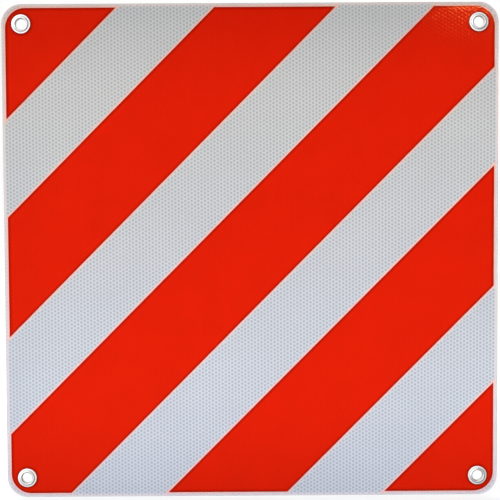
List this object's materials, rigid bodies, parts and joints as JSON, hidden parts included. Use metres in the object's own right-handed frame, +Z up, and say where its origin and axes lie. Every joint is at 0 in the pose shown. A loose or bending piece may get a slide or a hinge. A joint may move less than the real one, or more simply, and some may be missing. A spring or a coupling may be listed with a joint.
{
  "type": "reflective warning board",
  "caption": "Square aluminium warning board with round corners, honeycomb reflective film, red and white diagonal stripes, and a metal eyelet in each corner.",
  "frame": {"origin": "centre of the sheet's back face, which is also the centre of the four eyelets", "axes": "+Z up; +Y out of the plain back; the striped front faces -Y, and +X is to the right of someone who looks at the front"},
  "size_m": [0.5, 0.0059, 0.5],
  "materials": {
    "bare_aluminium": "mill finish, rolled, with fine handling scratches",
    "white_reflective": "glossy clear face over a grey-white honeycomb of reflective cells",
    "red_print": "glossy transparent red print, the honeycomb faintly showing through",
    "nickel_plate": "bright nickel plate",
    "zinc_plate": "dull zinc plate"
  },
  "bodies": {
    "root": {"aluminium_sheet": "bare_aluminium", "reflective_film": "white_reflective", "red_corner_top_left": "red_print", "red_stripe_upper": "red_print", "red_stripe_middle": "red_print", "red_stripe_lower": "red_print", "red_corner_bottom_right": "red_print", "eyelet_top_left": "nickel_plate", "eyelet_top_right": "nickel_plate", "eyelet_bottom_left": "nickel_plate", "eyelet_bottom_right": "nickel_plate", "eyelet_washer_top_left": "zinc_plate", "eyelet_washer_top_right": "zinc_plate", "eyelet_washer_bottom_left": "zinc_plate", "eyelet_washer_bottom_right": "zinc_plate"}
  },
  "joints": []
}
